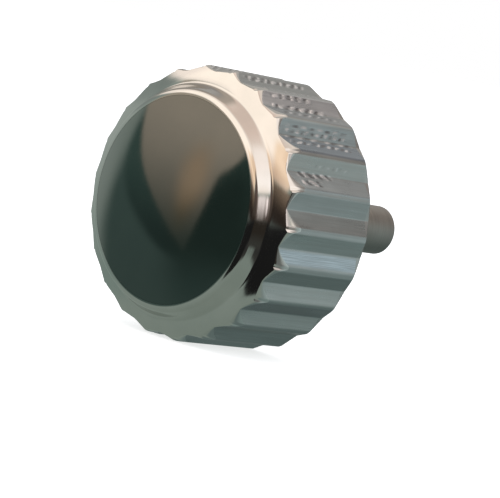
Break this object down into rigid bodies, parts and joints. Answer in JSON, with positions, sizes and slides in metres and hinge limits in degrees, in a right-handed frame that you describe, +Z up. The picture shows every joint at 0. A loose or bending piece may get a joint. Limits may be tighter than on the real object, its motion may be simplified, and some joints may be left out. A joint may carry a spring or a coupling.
{
  "type": "screw-down watch crown",
  "caption": "Fluted steel watch crown with a dark, mirror-bright domed face that screws down on the case tube and slides on a sprung post tapped for the winding stem.",
  "frame": {"origin": "on the crown's axis at the free end of the post, where the winding stem screws in", "axes": "+X along the axis, out through the crown's face; +Z up, through the middle of a flute"},
  "size_m": [0.0083, 0.007, 0.007],
  "materials": {
    "polished_steel": "polished shoulder and rim, cut flutes with fine chatter",
    "face_chrome": "mirror polished, slightly domed, a little darker than the shell",
    "machined_steel": "fine turned",
    "seal_rubber": "matt black, lightly greased",
    "white_plastic": "waxy white",
    "bronze": "satin",
    "spring_steel": "bright drawn wire"
  },
  "bodies": {
    "post": {"post": "machined_steel", "return_spring": "spring_steel"},
    "head": {"crown_shell": "polished_steel", "face_disc": "face_chrome", "threaded_core": "machined_steel", "hub": "machined_steel", "tube_gasket": "seal_rubber", "slip_washer": "white_plastic", "hub_seal_outer": "seal_rubber", "hub_seal_inner": "seal_rubber", "retaining_ring": "machined_steel", "thrust_washer": "bronze"}
  },
  "joints": [
    {"name": "head_press", "type": "slide", "parent": "post", "child": "head", "axis": [-1, 0, 0], "range_m": [0, 0.0012], "stiffness_N_per_m": 1300, "springref_m": -0.0005, "deforming": ["return_spring"]}
  ]
}
